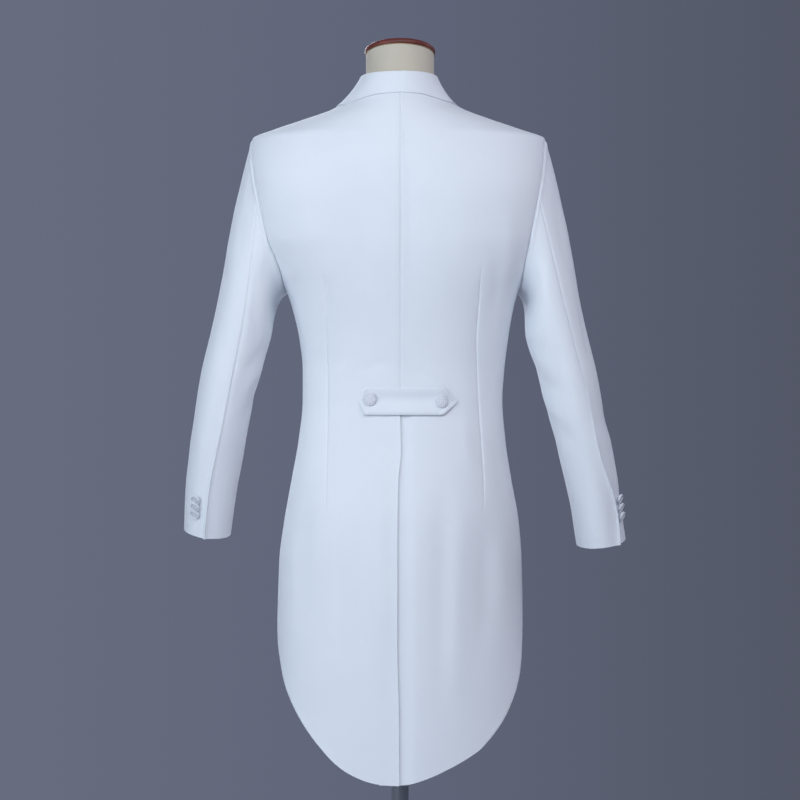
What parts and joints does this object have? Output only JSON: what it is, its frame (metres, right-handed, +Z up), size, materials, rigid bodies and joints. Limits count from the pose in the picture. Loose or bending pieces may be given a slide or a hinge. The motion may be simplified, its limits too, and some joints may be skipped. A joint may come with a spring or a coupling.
{
  "type": "tailcoat on a limbless dress form with a round-base stand",
  "caption": "Single-vent evening tailcoat with rounded tails, pointed half-belt, shawl collar and two-piece sleeves, worn open on a limbless dress form and pole stand.",
  "frame": {"origin": "centre of the underside of the round stand base", "axes": "+Z up along the pole, -Y the front of the coat, +X its left side"},
  "size_m": [0.67, 0.38, 1.5456],
  "materials": {
    "coat_cloth": "smooth matt white wool, slightly cool, with a very fine twill",
    "button_cover": "fine checked silk stretched over a domed button",
    "form_linen": "plain off-white linen cover",
    "gold_trim": "satin",
    "dark_wood": "polished dark red-brown",
    "stand_metal": "slate grey satin lacquer"
  },
  "bodies": {
    "root": {"back_left": "coat_cloth", "back_right": "coat_cloth", "front_left": "coat_cloth", "front_right": "coat_cloth", "sleeve_top_left": "coat_cloth", "sleeve_under_left": "coat_cloth", "sleeve_top_right": "coat_cloth", "sleeve_under_right": "coat_cloth", "collar": "coat_cloth", "back_belt": "coat_cloth", "belt_button_left": "button_cover", "belt_button_right": "button_cover", "cuff_button_left_1": "button_cover", "cuff_button_left_2": "button_cover", "cuff_button_left_3": "button_cover", "cuff_button_right_1": "button_cover", "cuff_button_right_2": "button_cover", "cuff_button_right_3": "button_cover", "form_torso": "form_linen", "neck_trim": "gold_trim", "neck_cap": "dark_wood", "stand_pole": "stand_metal", "stand_base": "stand_metal"}
  },
  "joints": []
}
